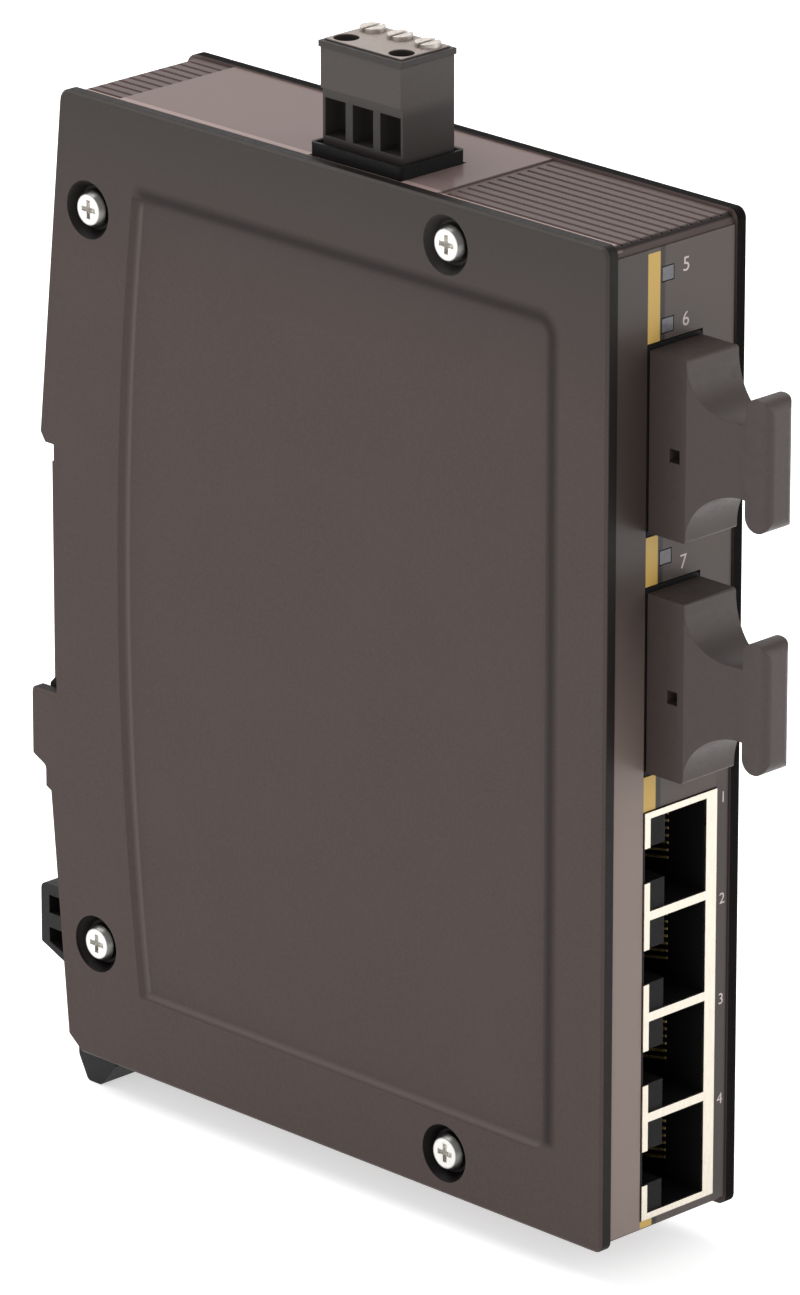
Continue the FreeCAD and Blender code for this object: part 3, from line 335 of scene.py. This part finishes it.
def shell_plastic():
    """The shell's moulding: a glossy smooth field on top, fine ribs, painted light on its top and
    grooves, painted shade on its fold and rim band.
    """
    n = Nodes("case_shell")
    fine, tone = grained(n, shade(CHARCOAL, 1.05), GRAIN, CONTRAST)
    x, y, z = n.axis("X"), n.axis("Y"), n.axis("Z")
    inner = n.band(x, SHELL_LOW.x - MM, RIM_FACE, 0.05 * MM)
    # painted light: the shell's top lighter than its sides
    upper = n.both(inner, n.band(z, ROOF - 0.75 * MM, SHELL_HIGH.z + MM, 0.1 * MM))
    tone = n.mix(upper, tone, shade(CHARCOAL, 1.6))
    # painted sheen: the smooth field on top lighter still
    smooth = n.both(inner, n.band(z, ROOF + 0.15 * MM, SHELL_HIGH.z + MM, 0.05 * MM))
    tone = n.mix(smooth, tone, shade(CHARCOAL, 2.7))
    # painted highlight along the shell's top edge
    edge = n.both(upper, n.band(x, SHELL_LOW.x - MM, SHELL_LOW.x + 1.5 * MM, 0.1 * MM))
    tone = n.mix(edge, tone, shade(CHARCOAL, 4.6))
    # painted shade: a dark line along the fold at the front of the top
    fold_shade = n.both(inner, n.band(y, SHELL_LOW.y + 0.75 * MM, SHELL_LOW.y + 1.6 * MM, 0.15 * MM),
                  n.band(z, ROOF - 0.9 * MM, ROOF + MM, 0.1 * MM))
    tone = n.mix(fold_shade, tone, shade(CHARCOAL, 0.3))
    # painted light: the rib grooves lightened against their shade
    lit_grooves = n.both(inner, n.band(z, ROOF - 0.8 * MM, ROOF - 0.06 * MM, 0.03 * MM),
                     n.band(y, SHELL_LOW.y + 1.75 * MM, -MM, 0.1 * MM))
    tone = n.mix(lit_grooves, tone, shade(CHARCOAL, 3.2))
    # painted shade: the rim band near black outside the side panel
    band = n.band(x, RIM_FACE + 0.02 * MM, SHELL_HIGH.x - 0.06 * MM, 0.02 * MM)
    panel = n.both(n.band(y, SHELL_LOW.y + 8 * MM, -14 * MM, MM),
                   n.band(z, SHELL_LOW.z + 9 * MM, SHELL_HIGH.z - 10 * MM, MM))
    shaded_rim = n.both(band, n.math("SUBTRACT", 1, panel))
    n.link(n.mix(shaded_rim, tone, SHADE_BLACK), n.shader.inputs["Base Color"])
    rough = n.spread(n.noise(SHINE_GRAIN, 2.0), 0.46, 0.54)
    rough = n.math("SUBTRACT", rough, n.math("MULTIPLY", smooth, 0.30))
    n.link(n.math("ADD", rough, n.math("MULTIPLY", shaded_rim, 0.45)), n.shader.inputs["Roughness"])
    n.set(Specular_IOR_Level=CASE_GLOSS)
    n.bump(fine, 0.008 * MM, 1.0, EDGE_SOFTNESS)
    return n.material


def metal(name, colour, roughness=0.25, grain=(1, 1, 1), size=0.5 * MM, edge=0.1 * MM):
    """Plated or drawn metal; grain stretches its fine lines along one axis."""
    n = Nodes(name)
    n.set(Metallic=1.0)
    lines = n.noise(size, 3.0, grain)
    tone = n.mix(n.spread(lines, 0, 1), shade(colour, 0.9), colour)
    n.link(tone, n.shader.inputs["Base Color"])
    n.link(n.spread(lines, roughness * 0.75, roughness * 1.3), n.shader.inputs["Roughness"])
    n.bump(lines, 0.004 * MM, 1.0, edge)
    return n.material


def screw_plating(screw):
    """Bright plated head whose flank, down in the countersink, is painted dark as its shade."""
    n = Nodes(screw + "_plating")
    n.set(Metallic=1.0)
    centre = middle(screw)
    fine = n.noise(0.4 * MM, 3.0)
    bright = n.mix(n.spread(fine, 0, 1), shade(BRIGHT_STEEL, 0.78), shade(BRIGHT_STEEL, 0.88))
    # painted shade: dark outside the head's bright face
    face = n.disc(centre.y, centre.z, SCREW_FACE_RADIUS, 0.12 * MM)
    n.link(n.mix(face, shade(BRIGHT_STEEL, 0.22), bright), n.shader.inputs["Base Color"])
    n.link(n.spread(fine, 0.26, 0.36), n.shader.inputs["Roughness"])
    n.bump(fine, 0.003 * MM, 1.0, 0.2 * MM)
    return n.material


def label_film():
    """Satin film on the front: grey field, a yellow stripe with a dark edge, a darker strip with a
    painted reflection on its lower part.
    """
    n = Nodes("label_film")
    x, z = n.axis("X"), n.axis("Z")
    fine = n.noise(0.25 * MM, 3.0)
    grey = n.mix(n.spread(fine, 0, 1), shade(LABEL_GREY, 0.92), shade(LABEL_GREY, 1.08))
    stripe_low = LABEL_LOW.x + STRIPE_INSET
    stripe_high = stripe_low + STRIPE_WIDTH
    strip = n.band(x, LABEL_LOW.x - MM, stripe_low, 0.05 * MM)
    field = n.mix(strip, grey, shade(LABEL_GREY, 0.72))
    # painted reflection: the strip lighter towards its bottom
    lower = n.band(z, LABEL_LOW.z - 40 * MM, JACK_HIGH.z + 18 * MM, 16 * MM)
    field = n.mix(n.both(strip, lower), field, shade(LABEL_GREY, 3.0))
    beside = n.both(n.band(x, JACK_HIGH.x, LABEL_HIGH.x + MM, 0.05 * MM),
                    n.band(z, LABEL_LOW.z - MM, JACK_HIGH.z + 2 * MM, 3 * MM))
    field = n.mix(beside, field, shade(LABEL_GREY, 0.6))
    shadow = n.band(x, stripe_high, stripe_high + 0.9 * MM, 0.2 * MM)
    field = n.mix(shadow, field, shade(LABEL_GREY, 0.3))
    stripe = n.both(n.band(x, stripe_low, stripe_high, 0.05 * MM),
                    n.band(z, LABEL_LOW.z - MM, LABEL_HIGH.z - 0.5 * MM, 0.05 * MM))
    n.link(n.mix(stripe, field, STRIPE_YELLOW), n.shader.inputs["Base Color"])
    n.link(n.spread(fine, 0.28, 0.38), n.shader.inputs["Roughness"])
    n.set(Specular_IOR_Level=0.3)
    n.bump(fine, 0.003 * MM)
    return n.material


def circuit_laminate():
    """Green solder mask over a woven board."""
    n = Nodes("circuit_laminate")
    weave = n.noise(0.8 * MM, 2.0)
    n.link(n.mix(n.spread(weave, 0, 1), SOLDER_GREEN, shade(SOLDER_GREEN, 1.5)),
           n.shader.inputs["Base Color"])
    n.link(n.spread(weave, 0.25, 0.35), n.shader.inputs["Roughness"])
    n.bump(weave, 0.01 * MM)
    return n.material


def lens():
    """Cloudy grey window over a status light."""
    n = Nodes("window_lens")
    cloud = n.noise(0.7 * MM, 2.0)
    n.link(n.mix(n.spread(cloud, 0, 1), WINDOW_BLUE_GREY, shade(WINDOW_BLUE_GREY, 1.25)),
           n.shader.inputs["Base Color"])
    n.link(n.spread(cloud, 0.12, 0.2), n.shader.inputs["Roughness"])
    n.bump(cloud, 0.003 * MM)
    return n.material


def plug_plastic():
    """Dark moulding with painted shade below the ledge round the wire entries, and a pale face on
    top.
    """
    n = Nodes("plug_plastic")
    z = n.axis("Z")
    fine = n.noise(0.4 * MM, 3.0)
    dark = n.mix(n.spread(fine, 0, 1), shade(PLUG_BLACK, 0.9), shade(PLUG_BLACK, 1.15))
    # painted shade: darker below the ledge, round the wire entries
    lower = n.band(z, PLUG_LOW.z - MM, PLUG_HIGH.z - 7.2 * MM, 0.8 * MM)
    dark = n.mix(lower, dark, shade(PLUG_BLACK, 0.5))
    lip = n.band(z, PLUG_HIGH.z - 1.2 * MM, PLUG_HIGH.z + MM, 0.1 * MM)
    dark = n.mix(lip, dark, shade(PLUG_BLACK, 0.6))
    pale = n.mix(n.spread(fine, 0, 1), shade(PLUG_TOP_GREY, 0.9), shade(PLUG_TOP_GREY, 1.1))
    face = n.band(z, PLUG_HIGH.z - 0.12 * MM, PLUG_HIGH.z + MM, 0.04 * MM)
    n.link(n.mix(face, dark, pale), n.shader.inputs["Base Color"])
    n.link(n.spread(fine, 0.40, 0.52), n.shader.inputs["Roughness"])
    n.set(Specular_IOR_Level=0.25)
    n.bump(fine, 0.01 * MM, 1.0, EDGE_SOFTNESS)
    return n.material


def paint(material, *names):
    """Puts one material on whole CAD nodes."""
    for name in names:
        mesh = NODES[name].data
        mesh.materials.clear()
        mesh.materials.append(material)


def finish_case():
    """Cover, shell, label, screws and latch."""
    paint(cover_plastic(), "left_cover")
    paint(shell_plastic(), "right_shell")
    paint(label_film(), "front_label")
    for screw in SCREWS:
        paint(screw_plating(screw), screw)
    paint(moulded("latch_moulding", BLACK_PLASTIC, 0.5, gloss=0.2), "rail_latch")


def finish_ports():
    """Copper sockets, fibre modules with their dust plugs, and the status windows."""
    paint(metal("shield_tin", SHIELD_TIN, 0.3, (1, 1, 6)), "jack_shield")
    paint(moulded("port_moulding", shade(BLACK_PLASTIC, 0.6), 0.55, gloss=0.12),
          "jack_housing", "upper_transceiver", "lower_transceiver")
    # gold darkened to 45 % as painted shade inside the sockets
    paint(metal("contact_gold", shade(GOLD, 0.45), 0.35), *CONTACTS)
    paint(moulded("sleeve_ceramic", CERAMIC_WHITE, 0.15), "upper_ferrule_sleeves",
          "lower_ferrule_sleeves")
    paint(moulded("cap_plastic", CAP_BLACK, 0.40, 0.5 * MM, gloss=0.3), "upper_dust_plug",
          "lower_dust_plug")
    paint(lens(), "status_light_pipes", "status_leds")


def finish_terminal():
    """Header, plug and their metal."""
    paint(moulded("header_moulding", shade(BLACK_PLASTIC, 0.5), 0.5, gloss=0.15), "power_header")
    paint(plug_plastic(), "power_plug")
    paint(metal("terminal_screws", CLAMP_GREY, 0.42, edge=0.25 * MM), "plug_clamp_screws")
    paint(metal("tinned_brass", TINNED_BRASS, 0.3), "plug_clamps", "plug_contacts",
          "header_pins", "upper_transceiver_pins", "lower_transceiver_pins")


def finish_board():
    """The circuit board and what it carries."""
    paint(circuit_laminate(), "circuit_board")
    paint(moulded("chip_epoxy", EPOXY_BLACK, 0.55), "switch_chip", "memory_chip",
          "converter_chip", "line_transformer_1", "line_transformer_2", "power_inductor",
          "input_diode", "input_fuse")
    paint(metal("drawn_can", CAN_GREY, 0.3), "clock_crystal", "input_capacitor_1",
          "input_capacitor_2")


# ---------------------------------------------------------------- pieces made here
def new_object(name, mesh):
    """Links a mesh into the scene."""
    made = bpy.data.objects.new(name, mesh)
    bpy.context.scene.collection.objects.link(made)
    return made


def coil_rings(mesh, wire, turns, per_turn, around):
    """Rings of vertices along a coil that fills the CAD spring's box, its end turns closed."""
    centre = (SPRING_LOW + SPRING_HIGH) / 2
    radius = (SPRING_HIGH.x - SPRING_LOW.x) / 2 - wire
    low, high = SPRING_LOW.z + wire, SPRING_HIGH.z - wire
    closed = 1 / turns
    end_share = 0.04
    upright = Vector((0, 0, 1))
    rings = []
    for i in range(turns * per_turn + 1):
        t = i / (turns * per_turn)
        angle = 2 * math.pi * turns * t
        first = min(t / closed, 1)
        open_part = min(max((t - closed) / (1 - 2 * closed), 0), 1)
        last = min(max((t - 1 + closed) / closed, 0), 1)
        share = end_share * first + (1 - 2 * end_share) * open_part + end_share * last
        out = Vector((math.cos(angle), math.sin(angle), 0))
        spot = Vector((centre.x, centre.y, low + (high - low) * share)) + out * radius
        rings.append([mesh.verts.new(spot + wire * (math.cos(a) * out + math.sin(a) * upright))
                      for a in (2 * math.pi * k / around for k in range(around))])
    return rings


def coil_spring():
    """Round-wire compression spring with closed ends, in the place of the CAD coil."""
    around = 10
    mesh = bmesh.new()
    rings = coil_rings(mesh, wire=0.25 * MM, turns=8, per_turn=28, around=around)
    for a, b in zip(rings, rings[1:]):
        for k in range(around):
            j = (k + 1) % around
            mesh.faces.new((a[k], b[k], b[j], a[j]))
    mesh.faces.new(rings[0])
    mesh.faces.new(list(reversed(rings[-1])))
    bmesh.ops.recalc_face_normals(mesh, faces=mesh.faces)
    for face in mesh.faces:
        face.smooth = len(face.verts) == 4
    data = bpy.data.meshes.new("coil_spring")
    mesh.to_mesh(data)
    mesh.free()
    data.materials.append(metal("spring_wire", SPRING_STEEL, 0.3))
    spring = new_object("coil_spring", data)
    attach(spring, "case")
    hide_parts("latch_spring")
    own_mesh(spring)


def printed_numeral(name, text, x, z, height, ink):
    """Pale port number as a thin mesh, a hair proud of the front film."""
    digit_share = 0.7       # a digit's height as a share of the font size
    proud = 0.01 * MM
    curve = bpy.data.curves.new(name, "FONT")
    curve.body = text
    curve.size = height / digit_share
    curve.align_x, curve.align_y = "CENTER", "CENTER"
    curve.extrude = proud
    writer = bpy.data.objects.new(name + "_text", curve)
    mesh = bpy.data.meshes.new_from_object(writer)
    bpy.data.objects.remove(writer)
    for vertex in mesh.vertices:
        across, up, out = vertex.co
        vertex.co = (x + across, LABEL_LOW.y - proud + out, z + up)
    mesh.name = name
    mesh.materials.clear()
    mesh.materials.append(ink)
    made = new_object(name, mesh)
    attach(made, "case")


def port_numbers():
    """Numbers beside the windows of the fibre ports and beside the four copper ports."""
    ink = moulded("numeral_ink", PRINT_GREY, 0.5, 0.2 * MM, 0.001 * MM, 0, 0.06)
    beside_windows = middle("status_light_pipes").x + 3.3 * MM
    heights = (WINDOWS_HIGH.z - 0.5 * MM, WINDOWS_HIGH.z - 7.7 * MM, WINDOWS_LOW.z - 0.6 * MM)
    for i, z in enumerate(heights):
        printed_numeral("fibre_number_%d" % (i + 1), str(i + 5), beside_windows, z, 1.9 * MM, ink)
    beside_sockets = JACK_HIGH.x + 1.35 * MM
    first = middle("jack_shield").z + 1.9 * SOCKET_PITCH
    for i in range(4):
        printed_numeral("copper_number_%d" % (i + 1), str(i + 1), beside_sockets,
                        first - i * SOCKET_PITCH, 1.5 * MM, ink)


# ---------------------------------------------------------------- stage, light and camera
def stage_floor():
    """Plain pale paper just under the part."""
    size = 4.0
    z = CAD_BOX[0].z - 0.05 * MM
    floor = bpy.data.meshes.new("floor")
    floor.from_pydata([(-size, -size, z), (size, -size, z), (size, size, z), (-size, size, z)],
                      [], [(0, 1, 2, 3)])
    n = Nodes("floor_paper")
    n.link(n.mix(n.noise(40 * MM, 2.0), PAPER_LOW, PAPER_HIGH), n.shader.inputs["Base Color"])
    n.set(Roughness=0.9, Emission_Color=(1, 1, 1, 1), Emission_Strength=0.55)
    floor.materials.append(n.material)
    new_object("floor", floor)


def area_light(name, place, size, power):
    """White panel lamp in metres and watts, turned to the middle of the part."""
    aim = Vector((0, -0.05, 0))
    data = bpy.data.lights.new(name, "AREA")
    data.shape = "RECTANGLE"
    data.size, data.size_y = size
    data.energy = power
    light = bpy.data.objects.new(name, data)
    bpy.context.scene.collection.objects.link(light)
    light.location = place
    light.rotation_mode = "QUATERNION"
    light.rotation_quaternion = (aim - Vector(place)).to_track_quat("-Z", "Y")


def studio_light():
    """White surroundings, a large lamp above and two weak fills."""
    world = bpy.data.worlds.new("studio")
    world.use_nodes = True
    background = world.node_tree.nodes["Background"]
    background.inputs["Color"].default_value = (1, 1, 1, 1)
    background.inputs["Strength"].default_value = 0.6
    bpy.context.scene.world = world
    bpy.context.scene.view_settings.view_transform = "Standard"
    area_light("overhead", (0.05, 0.45, 0.9), (1.4, 1.0), 14)
    area_light("front_fill", (0.55, -0.9, 0.35), (0.5, 0.9), 4)
    area_light("side_fill", (-0.95, -0.35, 0.3), (0.7, 0.9), 2)


def studio_camera():
    """Looks down on the cover's side and the front panel, as the long lens of the view needs."""
    azimuth, elevation = math.radians(-44.804), math.radians(19.733)
    distance = 1.2708
    sideways, upwards = 0.000679, -0.000386
    target = Vector((-0.0005, -0.0525, -0.0004))
    back = Vector((math.sin(azimuth) * math.cos(elevation),
                   -math.cos(azimuth) * math.cos(elevation), math.sin(elevation)))
    right = Vector((math.cos(azimuth), math.sin(azimuth), 0))
    up = back.cross(right)
    data = bpy.data.cameras.new("camera")
    data.sensor_width = 36
    data.lens = 269.76
    data.dof.use_dof = False
    data.clip_start, data.clip_end = 0.01, 20
    camera = bpy.data.objects.new("camera", data)
    bpy.context.scene.collection.objects.link(camera)
    camera.location = target + back * distance + right * sideways + up * upwards
    camera.rotation_mode = "QUATERNION"
    camera.rotation_quaternion = back.to_track_quat("Z", "Y")
    bpy.context.scene.camera = camera


finish_case()
finish_ports()
finish_terminal()
finish_board()
coil_spring()
port_numbers()
stage_floor()
studio_light()
studio_camera()
